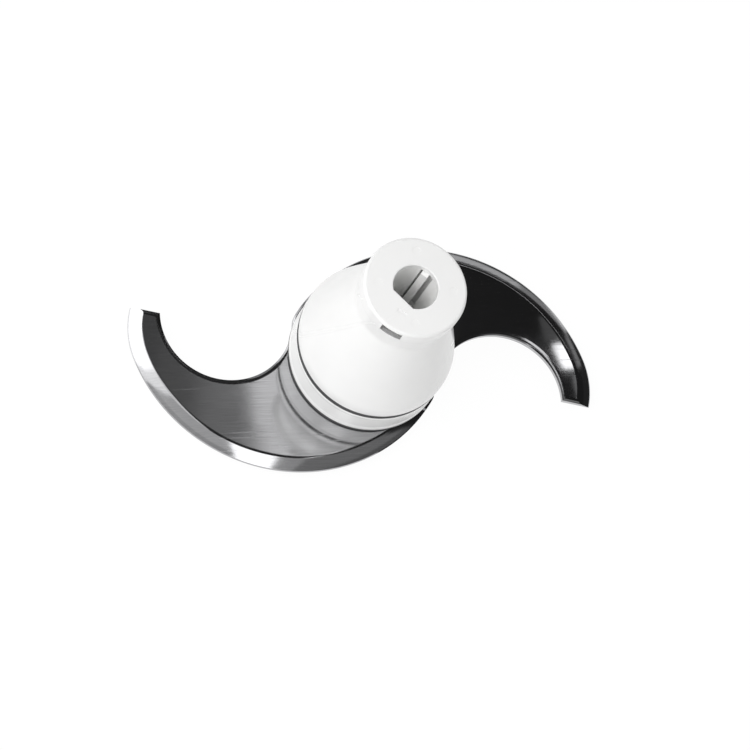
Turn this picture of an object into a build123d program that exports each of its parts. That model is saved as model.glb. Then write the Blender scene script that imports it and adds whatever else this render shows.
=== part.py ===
from build123d import *
import math
import os

# S-shaped cutting blade of a food processor on its drive hub, in millimetres.
# The hub's axis is Z. The hub stands on Z = 0, and the blade's two tips lie along X.

# Blade: a flat plate with two crescent arms, each bevelled along its outer edge.
sweep_radius = 84.5
blade_thickness = 2.0
tip_width = 10.5
bevel_width = 4.8
edge_thickness = 0.4
# How far the round of the outer edge would pass the tip, if it didn't close in there.
tip_tuck = 2.7
tip_turn = 30.0
# Where the outer edge and the notch pass the hub's side, out from it and in from it.
waist_margin = 2.0
notch_inset = 0.4
outer_arc_drop = 11.6
notch_arc_rise = 4.2
waist_fillet = 8.0
bevel_stop = 4.0

# Hub: what its pieces share.
hub_radius = 27.7
bore_radius = 7.8
bore_flat = 6.4
key_angle = 64.0
# How far round from straight opposite the key the flat faces, in degrees.
flat_turn = -9.0
fit_clearance = 0.15

# Carrier: foot flange under the blade, barrel through it, pegs that drive it.
foot_radius = 26.5
foot_height = 6.0
foot_rim = 3.0
foot_edge_fillet = 1.0
flange_web = 2.6
rib_count = 6
rib_thickness = 1.6
barrel_radius = 12.8
spindle_bore_radius = 9.0
spindle_bore_length = 34.0
bore_lead_in = 0.8
peg_count = 4
peg_radius = 2.5
peg_circle_radius = 19.5

# Clamp ring: stands on the blade and carries the seal and the cover.
ring_height = 13.3
ring_wall = 2.4
ring_floor = 3.0
ring_boss_wall = 1.8
ring_edge_fillet = 0.6
ledge_thickness = 2.4
spigot_wall = 1.8
spigot_rise = 2.0

# Seal in the seam between the ring and the cover.
seal_thickness = 2.4
seal_inset = 0.1

# Cover: wall, shoulder, cone, neck and collar, as one moulded bell.
cover_height = 52.6
cover_wall = 2.4
cover_edge_fillet = 0.4
shoulder_height = 3.4
shoulder_fillet = 14.0
neck_radius = 16.8
neck_length = 15.0
neck_fillet = 9.0
collar_radius = 17.9
collar_height = 6.2
collar_edge_fillet = 1.1
top_plate = 2.4
socket_length = 8.0

# Window in the collar's wall, and the latch on the barrel that clicks into it.
window_width = 7.6
window_height = 3.8
window_drop = 1.3
latch_height = 2.2
latch_reach = 0.9
# How far round from straight opposite the key they sit, in degrees.
window_turn = 7.0

# Drive sleeve in the barrel: sprung key finger between two slits, and two outer splines.
sleeve_wall = 2.1
key_width = 2.6
key_reach = 1.5
key_lead_in = 1.0
narrow_slit_width = 0.7
wide_slit_width = 1.8
slit_length = 27.0
spline_width = 3.0
spline_reach = 0.9

# Levels up the hub.
blade_top = foot_height + blade_thickness
ring_top = blade_top + ring_height
cover_base = ring_top + seal_thickness
hub_top = cover_base + cover_height
collar_base = hub_top - collar_height
plate_underside = hub_top - top_plate
window_middle = hub_top - window_drop - window_height / 2

# The plane whose X runs from the hub's axis towards the key.
key_plane = Plane.XY.rotated((0, 0, key_angle))
# The plane whose X runs straight away from the bore's flat.
flat_plane = Plane.XY.rotated((0, 0, key_angle + flat_turn))
# The plane whose X runs straight away from the window.
window_plane = Plane.XY.rotated((0, 0, key_angle + window_turn))


def circle_through(near, far, offset):
    """Centre and radius of the circle that crosses the X axis at near and far, with its centre offset across it."""
    half_chord = (far - near) / 2
    return Vector((near + far) / 2, offset), math.hypot(half_chord, offset)


def upper_crossing(centre_a, radius_a, centre_b, radius_b):
    """The crossing of two circles that lies on the positive Y side."""
    gap = centre_b - centre_a
    along = (radius_a**2 - radius_b**2 + gap.length**2) / (2 * gap.length)
    aside = math.sqrt(radius_a**2 - along**2)
    across = gap.normalized().rotate(Axis.Z, -90)
    return centre_a + gap.normalized() * along + across * aside


def bearing(centre, point):
    """Angle of a point about a centre, in degrees."""
    return math.degrees(math.atan2(point.Y - centre.Y, point.X - centre.X))


def on_circle(centre, radius, angle):
    """The point of a circle at an angle."""
    return centre + Vector(radius, 0).rotate(Axis.Z, angle)


# Outer edge of the arm that points along +X, and the notch of the arm that points along -X.
outer_centre, outer_radius = circle_through(
    -(hub_radius + waist_margin), sweep_radius + tip_tuck, -outer_arc_drop
)
notch_centre, notch_radius = circle_through(
    -(sweep_radius - tip_width), -(hub_radius - notch_inset), notch_arc_rise
)
waist = upper_crossing(outer_centre, outer_radius, notch_centre, notch_radius)
waist_angle = bearing(outer_centre, waist)

# Near the tip the outer edge closes in along a tighter arc, tangent to the main one.
tip = Vector(sweep_radius, 0)
turn_point = on_circle(outer_centre, outer_radius, tip_turn)
inward = (outer_centre - turn_point).normalized()
reach = tip - turn_point
tip_arc_radius = reach.length**2 / (2 * reach.dot(inward))
tip_arc_centre = turn_point + inward * tip_arc_radius


def cut_bevel(centre, radius, start, end):
    """Grinds the outer edge from the top along one arc, from one angle to another."""
    overrun = 1.0
    slope = (blade_thickness - edge_thickness) / bevel_width
    outward = Vector(1, 0).rotate(Axis.Z, start)
    section = Plane(origin=centre, x_dir=outward, z_dir=outward.rotate(Axis.Z, -90))
    with BuildSketch(section) as wedge:
        with BuildLine():
            Polyline(
                (radius - bevel_width, blade_top),
                (radius + overrun, blade_top),
                (radius + overrun, blade_top - slope * (bevel_width + overrun)),
                close=True,
            )
        make_face()
    revolve(wedge.sketch, axis=Axis(centre, (0, 0, 1)), revolution_arc=end - start, mode=Mode.SUBTRACT)


with BuildPart() as s_blade:
    with BuildSketch(Plane.XY.offset(foot_height)):
        with BuildLine():
            with BuildLine(mode=Mode.PRIVATE) as half:
                RadiusArc(tip, turn_point, -tip_arc_radius)
                CenterArc(outer_centre, outer_radius, tip_turn, waist_angle - tip_turn)
                notch_start = bearing(notch_centre, waist)
                notch_end = bearing(notch_centre, Vector(-(sweep_radius - tip_width), 0))
                CenterArc(notch_centre, notch_radius, notch_start, notch_end - notch_start)
                Line((-(sweep_radius - tip_width), 0), (-sweep_radius, 0))
            add(half.line)
            add(half.line.rotate(Axis.Z, 180))
        make_face()
        Circle(barrel_radius + fit_clearance, mode=Mode.SUBTRACT)
        with PolarLocations(peg_circle_radius, peg_count):
            Circle(peg_radius + fit_clearance, mode=Mode.SUBTRACT)
    extrude(amount=blade_thickness)
    for corner in (waist, waist.rotate(Axis.Z, 180)):
        fillet(s_blade.edges().filter_by(Axis.Z).sort_by_distance(corner)[0], waist_fillet)
    for turned in (0, 180):
        tip_start = bearing(tip_arc_centre, tip) - bevel_stop
        cut_bevel(tip_arc_centre.rotate(Axis.Z, turned), tip_arc_radius, tip_start + turned, tip_turn + turned)
        cut_bevel(
            outer_centre.rotate(Axis.Z, turned), outer_radius, tip_turn + turned, waist_angle - bevel_stop + turned
        )
s_blade.part.label = "s_blade"

with BuildPart() as blade_carrier:
    # Foot flange, hollow underneath between its rim and the barrel, with ribs across the hollow.
    with BuildSketch():
        Circle(foot_radius)
    extrude(amount=foot_height)
    fillet(blade_carrier.faces().sort_by(Axis.Z)[0].edges(), foot_edge_fillet)
    with BuildSketch():
        Circle(foot_radius - foot_rim)
        Circle(barrel_radius, mode=Mode.SUBTRACT)
        with PolarLocations(0, rib_count):
            Rectangle(foot_radius, rib_thickness, align=(Align.MIN, Align.CENTER), mode=Mode.SUBTRACT)
    extrude(amount=foot_height - flange_web, mode=Mode.SUBTRACT)
    # Barrel, with the latch near its top.
    with BuildSketch():
        Circle(barrel_radius)
    extrude(amount=plate_underside)
    with BuildSketch(window_plane.offset(window_middle - window_height / 2 + fit_clearance)):
        Rectangle(
            barrel_radius + latch_reach, window_width - 2 * fit_clearance, align=(Align.MAX, Align.CENTER)
        )
    extrude(amount=latch_height)
    # Pegs through the blade into the ring's floor.
    with BuildSketch(Plane.XY.offset(foot_height)):
        with PolarLocations(peg_circle_radius, peg_count):
            Circle(peg_radius)
    extrude(amount=blade_thickness + ring_floor)
    # Spindle bore from below, and above it the wider seat of the drive sleeve with its spline grooves.
    with BuildSketch():
        Circle(spindle_bore_radius)
    extrude(amount=spindle_bore_length, mode=Mode.SUBTRACT)
    with BuildSketch(key_plane.offset(spindle_bore_length)):
        Circle(bore_radius + sleeve_wall + fit_clearance)
        Rectangle(
            spline_width + 2 * fit_clearance,
            2 * (bore_radius + sleeve_wall + spline_reach + fit_clearance),
        )
    extrude(amount=plate_underside - spindle_bore_length, mode=Mode.SUBTRACT)
    chamfer(blade_carrier.edges().filter_by(GeomType.CIRCLE).group_by(Axis.Z)[0].sort_by(SortBy.RADIUS)[0], bore_lead_in)
blade_carrier.part.label = "blade_carrier"

with BuildPart() as clamp_ring:
    spigot_radius = hub_radius - cover_wall - fit_clearance
    boss_bore = barrel_radius + fit_clearance
    with BuildSketch(Plane.XZ):
        with BuildLine():
            Polyline(
                (boss_bore, blade_top),
                (hub_radius, blade_top),
                (hub_radius, ring_top),
                (spigot_radius, ring_top),
                (spigot_radius, cover_base + spigot_rise),
                (spigot_radius - spigot_wall, cover_base + spigot_rise),
                (spigot_radius - spigot_wall, ring_top - ledge_thickness),
                (hub_radius - ring_wall, ring_top - ledge_thickness),
                (hub_radius - ring_wall, blade_top + ring_floor),
                (boss_bore + ring_boss_wall, blade_top + ring_floor),
                (boss_bore + ring_boss_wall, ring_top),
                (boss_bore, ring_top),
                close=True,
            )
        outline = make_face()
        fillet(outline.vertices().sort_by_distance((hub_radius, blade_top))[0], ring_edge_fillet)
        fillet(outline.vertices().sort_by_distance((hub_radius, ring_top))[0], ring_edge_fillet)
    revolve(axis=Axis.Z)
    with BuildSketch(Plane.XY.offset(blade_top)):
        with PolarLocations(peg_circle_radius, peg_count):
            Circle(peg_radius + fit_clearance)
    extrude(amount=ring_floor, mode=Mode.SUBTRACT)
clamp_ring.part.label = "clamp_ring"

with BuildPart() as seam_seal:
    with BuildSketch(Plane.XY.offset(ring_top)):
        Circle(hub_radius - seal_inset)
        Circle(spigot_radius + fit_clearance, mode=Mode.SUBTRACT)
    extrude(amount=seal_thickness)
seam_seal.part.label = "seam_seal"

with BuildPart() as hub_cover:
    shoulder = cover_base + shoulder_height
    neck_base = hub_top - neck_length
    socket_base = plate_underside - socket_length
    socket_radius = barrel_radius + fit_clearance
    with BuildSketch(Plane.XZ):
        with BuildLine():
            Polyline(
                (hub_radius, cover_base),
                (hub_radius, shoulder),
                (neck_radius, neck_base),
                (neck_radius, collar_base),
                (collar_radius, collar_base),
                (collar_radius, hub_top),
                (0, hub_top),
                (0, plate_underside),
                (socket_radius, plate_underside),
                (socket_radius, socket_base),
                (neck_radius - cover_wall, socket_base),
                (neck_radius - cover_wall, neck_base),
                (hub_radius - cover_wall, shoulder),
                (hub_radius - cover_wall, cover_base),
                close=True,
            )
        bell = make_face()
        fillet(bell.vertices().sort_by_distance((hub_radius, cover_base))[0], cover_edge_fillet)
        fillet(bell.vertices().sort_by_distance((hub_radius, shoulder))[0], shoulder_fillet)
        fillet(bell.vertices().sort_by_distance((hub_radius - cover_wall, shoulder))[0], shoulder_fillet - cover_wall)
        fillet(bell.vertices().sort_by_distance((neck_radius, neck_base))[0], neck_fillet)
        fillet(bell.vertices().sort_by_distance((neck_radius - cover_wall, neck_base))[0], neck_fillet)
        fillet(bell.vertices().sort_by_distance((collar_radius, hub_top))[0], collar_edge_fillet)
    revolve(axis=Axis.Z)
    # D-shaped opening through the top plate.
    with BuildSketch(flat_plane.offset(plate_underside)):
        Circle(bore_radius)
        with Locations((-bore_flat, 0)):
            Rectangle(bore_radius, 2 * bore_radius, align=(Align.MAX, Align.CENTER), mode=Mode.SUBTRACT)
    extrude(amount=top_plate, mode=Mode.SUBTRACT)
    # Window through the collar's wall, down to the latch.
    with BuildSketch(window_plane.offset(window_middle - window_height / 2)):
        with Locations((-collar_radius, 0)):
            Rectangle(
                collar_radius - bore_radius - sleeve_wall, window_width, align=(Align.MIN, Align.CENTER)
            )
    extrude(amount=window_height, mode=Mode.SUBTRACT)
hub_cover.part.label = "hub_cover"

with BuildPart() as drive_sleeve:
    sleeve_radius = bore_radius + sleeve_wall
    sleeve_length = plate_underside - spindle_bore_length - fit_clearance
    with BuildSketch(key_plane.offset(spindle_bore_length)):
        Circle(sleeve_radius)
        Rectangle(spline_width, 2 * (sleeve_radius + spline_reach))
    extrude(amount=sleeve_length)
    with BuildSketch(flat_plane.offset(spindle_bore_length)):
        Circle(bore_radius)
        with Locations((-bore_flat, 0)):
            Rectangle(bore_radius, 2 * bore_radius, align=(Align.MAX, Align.CENTER), mode=Mode.SUBTRACT)
    extrude(amount=sleeve_length, mode=Mode.SUBTRACT)
    # Key on the finger, with a sloping lead-in at its lower end.
    with BuildSketch(key_plane.offset(spindle_bore_length)):
        with Locations((bore_radius - key_reach, 0)):
            Rectangle(key_reach + sleeve_wall / 2, key_width, align=(Align.MIN, Align.CENTER))
    extrude(amount=sleeve_length)
    key_foot = drive_sleeve.edges().group_by(Axis.Z)[0].filter_by(GeomType.LINE).sort_by_distance(
        key_plane.from_local_coords((bore_radius - key_reach, 0, spindle_bore_length))
    )[0]
    chamfer(key_foot, key_lead_in)
    # Slits beside the finger, open at the top.
    with BuildSketch(key_plane.offset(spindle_bore_length + sleeve_length)):
        for side, width in ((1, narrow_slit_width), (-1, wide_slit_width)):
            with Locations((bore_radius / 2, side * (key_width + width) / 2)):
                Rectangle(sleeve_radius, width, align=(Align.MIN, Align.CENTER))
    extrude(amount=-slit_length, mode=Mode.SUBTRACT)
drive_sleeve.part.label = "drive_sleeve"

os.makedirs("parts", exist_ok=True)
export_step(s_blade.part, "parts/s_blade.step")
export_step(blade_carrier.part, "parts/blade_carrier.step")
export_step(clamp_ring.part, "parts/clamp_ring.step")
export_step(seam_seal.part, "parts/seam_seal.step")
export_step(hub_cover.part, "parts/hub_cover.step")
export_step(drive_sleeve.part, "parts/drive_sleeve.step")
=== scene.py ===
import math

import bmesh
import bpy
from bpy.props import FloatProperty, FloatVectorProperty, IntProperty, PointerProperty
from mathutils import Matrix, Vector


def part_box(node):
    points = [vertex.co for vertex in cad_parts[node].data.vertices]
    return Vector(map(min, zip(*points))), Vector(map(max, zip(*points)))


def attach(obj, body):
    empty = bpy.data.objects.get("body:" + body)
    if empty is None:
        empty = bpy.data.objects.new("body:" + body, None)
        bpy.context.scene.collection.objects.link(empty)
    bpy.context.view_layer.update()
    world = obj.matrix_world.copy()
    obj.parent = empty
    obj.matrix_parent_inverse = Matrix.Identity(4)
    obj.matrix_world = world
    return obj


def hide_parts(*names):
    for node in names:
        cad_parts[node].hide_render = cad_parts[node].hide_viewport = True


bl_info = {
    "name": "Processor blade",
    "version": (1, 0, 0),
    "blender": (4, 5, 0),
    "location": "View3D > Sidebar > Blade",
    "description": "An S-shaped steel cutting blade on its moulded drive hub, with its studio",
    "category": "Object",
}

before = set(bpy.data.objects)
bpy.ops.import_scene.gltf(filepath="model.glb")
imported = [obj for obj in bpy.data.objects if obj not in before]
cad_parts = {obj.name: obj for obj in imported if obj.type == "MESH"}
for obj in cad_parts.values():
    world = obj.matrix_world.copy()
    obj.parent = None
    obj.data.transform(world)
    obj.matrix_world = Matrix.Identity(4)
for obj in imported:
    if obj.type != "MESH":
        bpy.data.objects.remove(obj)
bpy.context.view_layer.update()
MM = 0.001
BLADE_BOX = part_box("s_blade")
RING_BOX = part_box("clamp_ring")
SEAL_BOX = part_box("seam_seal")
COVER_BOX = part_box("hub_cover")
CARRIER_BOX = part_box("blade_carrier")
SLEEVE_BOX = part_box("drive_sleeve")
AXIS = Vector((0.0, 0.0))

# How far a cutter passes the faces that it cuts.
CLEAR = 1.0 * MM
# How far a block reaches into what it is joined to.
BITE = 0.3 * MM
# Slack where faces are picked by their place.
HAIR = 0.01 * MM
# Angle over which a ground bevel runs out into the blunt edge.
BEVEL_END = 0.0005

# Sizes and colours that a user would change.


def length(name, description, default):
    """A length property whose default is given in millimetres."""
    metres = default * MM
    return FloatProperty(name=name, description=description, default=metres, unit="LENGTH", precision=5)


def turn(name, description, default):
    """An angle property whose default is given in degrees."""
    return FloatProperty(name=name, description=description, default=math.radians(default), subtype="ANGLE")


def amount(name, description, default, highest=1.0):
    """A plain number from zero up."""
    return FloatProperty(name=name, description=description, default=default, min=0.0, soft_max=highest)


def tint(name, description, default):
    """A colour property."""
    return FloatVectorProperty(name=name, description=description, default=default, subtype="COLOR", size=3)


class BladeSizes(bpy.types.PropertyGroup):
    """The steel plate: its outline, its bevel and its edges."""

    sweep_radius: length("Sweep radius", "Hub axis to the outer corner of a tip", 84.5)
    tip_width: length("Tip width", "Width of an arm where its tip is cut off", 10.5)
    tip_tuck: length("Tip tuck", "How far the outer edge would pass the tip if it didn't close in", 2.7)
    tip_turn: turn("Tip turn", "Angle about the outer arc's centre where the edge starts to close in", 30.0)
    waist_margin: length("Waist margin", "How far the outer edge's circle passes outside the hub", 2.0)
    notch_inset: length("Notch inset", "How far the notch's circle reaches in under the hub", 0.4)
    outer_arc_drop: length("Outer arc drop", "Offset of the outer arc's centre across the tips' line", 11.6)
    notch_arc_rise: length("Notch arc rise", "Offset of the notch arc's centre across the tips' line", 4.2)
    waist_fillet: length("Waist fillet", "Radius between the outer edge and the notch", 8.0)
    bevel_width: length("Bevel width", "Width of the ground bevel along the outer edge", 4.8)
    bevel_stop: turn("Bevel stop", "How far before the waist the bevel ends", 4.0)
    edge_thickness: length("Edge thickness", "Thickness that the main bevel leaves at the edge", 0.4)
    hone_width: length("Hone width", "Width of the fine second bevel at the cutting edge", 0.3)
    hone_edge: length("Hone edge", "Thickness of the honed edge itself", 0.25)
    bevel_crown: length("Bevel crown", "How far the ground bevel bulges between its two edges", 0.07)
    land_round: length("Land round", "Reach of the soft line between the bevel and the flat face", 0.7)
    edge_round: length("Edge round", "Rounding of the plate's blunt edges", 0.12)
    roll_width: length("Roll width", "Width of the rolled-down strip along the plate's blunt edges", 1.9)
    roll_depth: length("Roll depth", "How far the rolled strip drops", 0.34)
    peg_circle_radius: length("Peg circle", "Radius of the circle of peg holes", 19.5)
    peg_radius: length("Peg radius", "Radius of a peg", 2.5)
    peg_count: IntProperty(name="Pegs", description="Number of pegs through the blade", default=4, min=2)


class HubSizes(bpy.types.PropertyGroup):
    """The moulded hub: ring, seal, cover, carrier and sleeve."""

    cover_wall: length("Cover wall", "Wall thickness of the bell-shaped cover", 2.4)
    shoulder_height: length("Shoulder height", "Cover's base to the corner where its wall leans in", 3.4)
    shoulder_fillet: length("Shoulder fillet", "Radius of the rounded shoulder", 14.0)
    neck_radius: length("Neck radius", "Outside of the neck under the collar", 16.8)
    neck_length: length("Neck length", "Collar's top down to the foot of the neck", 15.0)
    neck_fillet: length("Neck fillet", "Radius where the cone meets the neck", 9.0)
    collar_radius: length("Collar radius", "Outside of the collar", 17.9)
    collar_height: length("Collar height", "Height of the collar's side", 6.2)
    collar_round: length("Collar round", "Rounding of the collar's top edge", 1.1)
    top_plate: length("Top plate", "Thickness of the collar's top", 2.4)
    socket_length: length("Socket length", "How far the cover grips the barrel", 8.0)
    window_width: length("Window width", "Width of the latch window", 7.6)
    window_height: length("Window height", "Height of the latch window", 3.8)
    window_drop: length("Window drop", "Collar's top down to the window", 1.3)
    window_turn: turn("Window turn", "How far round from opposite the key the window sits", 7.0)
    latch_height: length("Latch height", "Height of the latch in the window", 2.2)
    latch_reach: length("Latch reach", "How far the latch stands out of the barrel", 0.9)
    bore_radius: length("Bore radius", "Radius of the keyed bore", 7.8)
    bore_round: length("Bore round", "Rounding of the opening's upper edge", 0.4)
    bore_flat: length("Bore flat", "Axis to the bore's one flat", 6.4)
    flat_turn: turn("Flat turn", "How far round from opposite the key the flat faces", -9.0)
    key_angle: turn("Key angle", "Angle of the key from the line of the tips", 64.0)
    ring_wall: length("Ring wall", "Wall thickness of the clamp ring", 2.4)
    ring_floor: length("Ring floor", "Thickness of the clamp ring's floor", 3.0)
    ring_recess: length("Ring recess", "Depth of the shallow band round the clamp ring", 0.25)
    # The dark lip under the clamp ring is painted contact shadow where the ring stands on the blade.
    painted_shadow_lip: length("Foot seal", "Height of the dark lip that the clamp ring stands on", 1.25)
    spigot_wall: length("Spigot wall", "Wall thickness of the ring's spigot", 1.8)
    fit_clearance: length("Fit clearance", "Gap between pieces that fit together", 0.15)
    foot_rim: length("Foot rim", "Width of the rim that the hub stands on", 3.0)
    foot_web: length("Foot web", "Thickness of the foot flange above its hollow", 2.6)
    foot_round: length("Foot round", "Rounding of the foot's lower edge", 1.0)
    foot_ribs: IntProperty(name="Foot ribs", description="Number of ribs under the foot", default=6, min=0)
    rib_thickness: length("Rib thickness", "Thickness of a rib under the foot", 1.6)
    barrel_radius: length("Barrel radius", "Outside of the carrier's barrel", 12.8)
    spindle_radius: length("Spindle bore", "Radius of the carrier's plain bore", 9.0)
    sleeve_wall: length("Sleeve wall", "Wall thickness of the drive sleeve", 2.1)
    key_width: length("Key width", "Width of the key on the sprung finger", 2.6)
    key_reach: length("Key reach", "How far the key stands into the bore", 1.5)
    narrow_slit: length("Narrow slit", "Width of the slit on one side of the finger", 0.7)
    wide_slit: length("Wide slit", "Width of the slit on the other side of the finger", 1.8)
    slit_length: length("Slit length", "Length of the slits", 27.0)
    spline_width: length("Spline width", "Width of the sleeve's outer splines", 3.0)
    spline_reach: length("Spline reach", "Height of the sleeve's outer splines", 0.9)


class Finishes(bpy.types.PropertyGroup):
    """Colours and surface values of the materials."""

    steel: tint("Steel", "Colour of the blade's flat faces", (0.47, 0.47, 0.48))
    ground_steel: tint("Ground steel", "Colour of the ground bevels", (0.70, 0.70, 0.71))
    steel_roughness: amount("Steel roughness", "Roughness of the flat faces", 0.09)
    ground_roughness: amount("Ground roughness", "Roughness of the ground bevels", 0.14)
    plastic: tint("White plastic", "Colour of the hub's mouldings", (0.90, 0.90, 0.895))
    plastic_roughness: amount("Plastic roughness", "Roughness of the hub's mouldings", 0.22)
    # The sleeve is whiter than the hub's mouldings: its own white plus painted light that brightens the
    # shaded bore.
    sleeve: tint("Sleeve", "Colour of the drive sleeve", (0.94, 0.94, 0.93))
    # The seal colour is the seal's own dark rubber and also paints shade: the seam's shadow, and the
    # contact shadow of the lip under the clamp ring.
    seal: tint("Seal", "Colour of the seam seal", (0.06, 0.06, 0.062))
    # The window colour is painted shade: a darker grey copy of the plastic for the recess behind the latch
    # window.
    window: tint("Window", "Colour inside the latch window", (0.46, 0.46, 0.46))


class StudioSettings(bpy.types.PropertyGroup):
    """Camera, lamps and floor."""

    azimuth: turn("Azimuth", "Direction of the camera round the hub's axis, from minus Y", -27.3)
    elevation: turn("Elevation", "Height of the camera above the floor's plane", 65.0)
    roll: turn("Roll", "How far the picture leans", 37.3)
    distance: length("Distance", "Camera to the hub's axis at the blade", 1059.0)
    frame_width: length("Frame width", "Width of the picture at the blade", 264.75)
    aim_right: length("Aim right", "Picture's middle, right of the hub's axis at the blade", 3.85)
    aim_down: length("Aim down", "Picture's middle, below the hub's axis at the blade", 6.35)
    sky: amount("Sky", "Brightness of the white surroundings on rough surfaces", 0.62, 2.0)
    key_power: amount("Key power", "Power of the softbox in watts", 5.8, 100.0)


def settings(context):
    """The blade's sizes, the hub's sizes and the finishes."""
    scene = context.scene
    return scene.blade_sizes, scene.hub_sizes, scene.blade_finishes


# Mesh helpers.


def circle_through(near, far, offset):
    """Centre and radius of a circle that crosses the X axis at near and far, its centre offset in Y."""
    half_chord = (far - near) / 2
    return Vector(((near + far) / 2, offset)), math.hypot(half_chord, offset)


def upper_crossing(centre_a, radius_a, centre_b, radius_b):
    """The crossing of two circles on the positive Y side, for a second circle that lies towards minus X."""
    gap = centre_b - centre_a
    along = (radius_a**2 - radius_b**2 + gap.length**2) / (2 * gap.length)
    aside = math.sqrt(radius_a**2 - along**2)
    ahead = gap.normalized()
    return centre_a + ahead * along + Vector((ahead.y, -ahead.x)) * aside


def on_circle(centre, radius, angle):
    """The point of a circle at an angle."""
    return centre + Vector((math.cos(angle), math.sin(angle))) * radius


def bearing(centre, point):
    """Angle of a point about a centre."""
    return math.atan2(point.y - centre.y, point.x - centre.x)


def spread(start, end, count):
    """count values from start to end, both included."""
    return [start + (end - start) * i / (count - 1) for i in range(count)]


def rounded(*corners, steps=8):
    """Closed outline through corners (x, z, radius); a radius above zero rounds its corner with an arc."""
    outline = []
    for i, (x, z, radius) in enumerate(corners):
        here = Vector((x, z))
        if radius <= 0:
            outline.append(here)
            continue
        before = (Vector(corners[i - 1][:2]) - here).normalized()
        after = (Vector(corners[(i + 1) % len(corners)][:2]) - here).normalized()
        half = before.angle(after) / 2
        middle = here + (before + after).normalized() * radius / math.sin(half)
        start = here + before * radius / math.tan(half) - middle
        end = here + after * radius / math.tan(half) - middle
        sweep = math.remainder(math.atan2(end.y, end.x) - math.atan2(start.y, start.x), 2 * math.pi)
        for angle in spread(0.0, sweep, steps + 1):
            outline.append(middle + Matrix.Rotation(angle, 2) @ start)
    return outline


def new_piece(name, build, sharp_angle=30.0):
    """A mesh object from a bmesh, smooth but for edges sharper than an angle in degrees."""
    bmesh.ops.recalc_face_normals(build, faces=build.faces)
    mesh = bpy.data.meshes.new(name)
    build.to_mesh(mesh)
    build.free()
    piece = bpy.data.objects.new(name, mesh)
    bpy.context.scene.collection.objects.link(piece)
    shade(piece, sharp_angle)
    return piece


def shade(piece, sharp_angle=30.0):
    """Smooth shading but on level faces, with creases at edges sharper than an angle in degrees."""
    level = 0.99999
    piece.data.shade_smooth()
    piece.data.set_sharp_from_angle(angle=math.radians(sharp_angle))
    for polygon in piece.data.polygons:
        if abs(polygon.normal.z) > level:
            polygon.use_smooth = False


def lathe(outline, steps=192):
    """A bmesh turned about the Z axis from a closed outline of (radius, height) points."""
    build = bmesh.new()
    rings = []
    for i in range(steps):
        angle = 2 * math.pi * i / steps
        rings.append([build.verts.new((r * math.cos(angle), r * math.sin(angle), z)) for r, z in outline])
    for i in range(steps):
        here, there = rings[i], rings[(i + 1) % steps]
        for k in range(len(outline)):
            build.faces.new((here[k], there[k], there[k - 1], here[k - 1]))
    return build


def raised(z, *outline):
    """An outline of (x, y) points raised to a height."""
    return [(x, y, z) for x, y in outline]


def loft(rows):
    """A bmesh through closed rows of (x, y, z) points from bottom to top, with as many points in each."""
    build = bmesh.new()
    rings = [[build.verts.new(point) for point in row] for row in rows]
    build.faces.new(rings[0])
    build.faces.new(rings[-1])
    for low, high in zip(rings, rings[1:]):
        for k in range(len(low)):
            build.faces.new((low[k - 1], low[k], high[k], high[k - 1]))
    return build


def prism(outline, bottom, top):
    """A bmesh that stands on a closed outline of (x, y) points, between two heights."""
    return loft((raised(bottom, *outline), raised(top, *outline)))


def disc(radius, centre=AXIS, steps=96):
    """Closed outline of a circle."""
    return [on_circle(centre, radius, 2 * math.pi * i / steps) for i in range(steps)]


def block(low_x, high_x, half_width, direction):
    """Closed outline of a rectangle that lies along a direction from the axis."""
    corners = ((low_x, -half_width), (high_x, -half_width), (high_x, half_width), (low_x, half_width))
    return [Matrix.Rotation(direction, 2) @ Vector(corner) for corner in corners]


def combine(piece, build, operation="DIFFERENCE"):
    """Cuts a bmesh out of a piece, or joins it on, with the result applied."""
    tool = new_piece("tool", build)
    change = piece.modifiers.new("change", "BOOLEAN")
    change.operation = operation
    change.solver = "EXACT"
    change.object = tool
    bpy.context.view_layer.update()
    evaluated = piece.evaluated_get(bpy.context.evaluated_depsgraph_get())
    result = bpy.data.meshes.new_from_object(evaluated)
    piece.modifiers.clear()
    piece.data = result
    result.name = piece.name
    bpy.data.objects.remove(tool)


def peg_centres(sizes):
    """Centres of the pegs round the hub's axis."""
    step = 2 * math.pi / sizes.peg_count
    return [on_circle(AXIS, sizes.peg_circle_radius, step * k) for k in range(sizes.peg_count)]


def bore_outline(hub, radius, flat, steps=96):
    """Closed outline of a circle with one flat, on the side away from the key."""
    half = math.acos(flat / radius)
    away = hub.key_angle + hub.flat_turn + math.pi
    return [on_circle(AXIS, radius, a) for a in spread(away + half, away - half + 2 * math.pi, steps)]


def finish_piece(piece, node, slot, *materials):
    """Gives a piece its materials and its body, and hides the CAD node that it stands for. The slot is not
    used.
    """
    piece.data.materials.clear()
    for material in materials:
        piece.data.materials.append(material)
    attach(piece, "root")
    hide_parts(node)


# Materials.


def new_group(name, numbers, results):
    """An empty shader node group that takes a vector and numbers, as (group, input node, output node)."""
    group = bpy.data.node_groups.new(name, "ShaderNodeTree")
    group.interface.new_socket("Vector", in_out="INPUT", socket_type="NodeSocketVector")
    for label, value in numbers.items():
        socket = group.interface.new_socket(label, in_out="INPUT", socket_type="NodeSocketFloat")
        socket.default_value = value
    for label in results:
        group.interface.new_socket(label, in_out="OUTPUT", socket_type="NodeSocketFloat")
    return group, group.nodes.new("NodeGroupInput"), group.nodes.new("NodeGroupOutput")


def feed(tree, socket, value):
    """Links a socket to another one, or sets it to a value."""
    if isinstance(value, bpy.types.NodeSocket):
        tree.links.new(value, socket)
    else:
        socket.default_value = value


def calculate(tree, operation, first, second):
    """A math node; its operands are sockets or numbers."""
    node = tree.nodes.new("ShaderNodeMath")
    node.operation = operation
    feed(tree, node.inputs[0], first)
    feed(tree, node.inputs[1], second)
    return node.outputs[0]


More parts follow.
